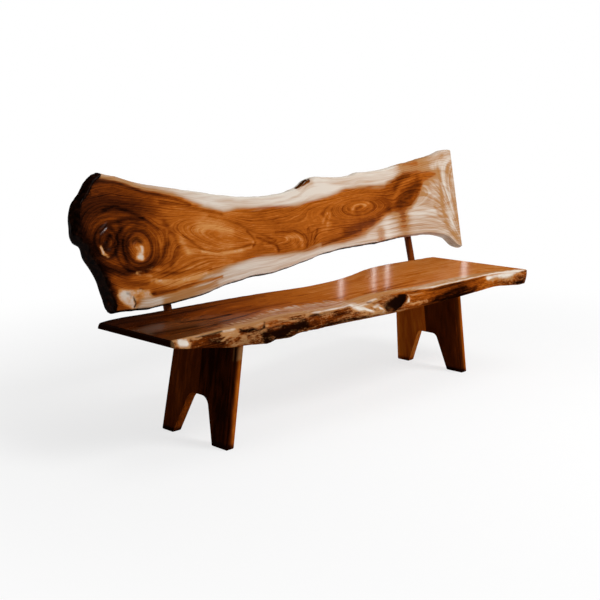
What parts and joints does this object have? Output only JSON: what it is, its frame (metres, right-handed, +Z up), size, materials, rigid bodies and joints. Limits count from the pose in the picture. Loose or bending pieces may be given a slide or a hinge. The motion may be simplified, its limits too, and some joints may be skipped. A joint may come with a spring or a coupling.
{
  "type": "live-edge slab bench",
  "caption": "Live-edge hardwood bench: a wavy slab seat on splayed plank legs with arched cut-outs, and a leaning slab back on slim round posts.",
  "frame": {"origin": "on the floor under the middle of the bench's overall box", "axes": "+X along the bench to its right end as seen from the front, +Y from front to back, +Z up"},
  "size_m": [2.2128, 0.6595, 0.9769],
  "materials": {
    "seat_wood": "gloss varnish",
    "back_wood": "gloss varnish",
    "leg_wood": "dark satin varnish",
    "post_wood": "dark satin varnish",
    "dowel_wood": "bare",
    "screw_steel": "zinc plated"
  },
  "bodies": {
    "root": {"seat_slab": "seat_wood", "back_slab": "back_wood", "left_leg_front_board": "leg_wood", "left_leg_rear_board": "leg_wood", "right_leg_front_board": "leg_wood", "right_leg_rear_board": "leg_wood", "left_leg_dowels": "dowel_wood", "right_leg_dowels": "dowel_wood", "left_batten": "leg_wood", "right_batten": "leg_wood", "left_batten_seat_screws": "screw_steel", "right_batten_seat_screws": "screw_steel", "left_batten_leg_screws": "screw_steel", "right_batten_leg_screws": "screw_steel", "left_back_post": "post_wood", "right_back_post": "post_wood", "left_post_coach_screws": "screw_steel", "right_post_coach_screws": "screw_steel", "left_post_washers": "screw_steel", "right_post_washers": "screw_steel"}
  },
  "joints": []
}
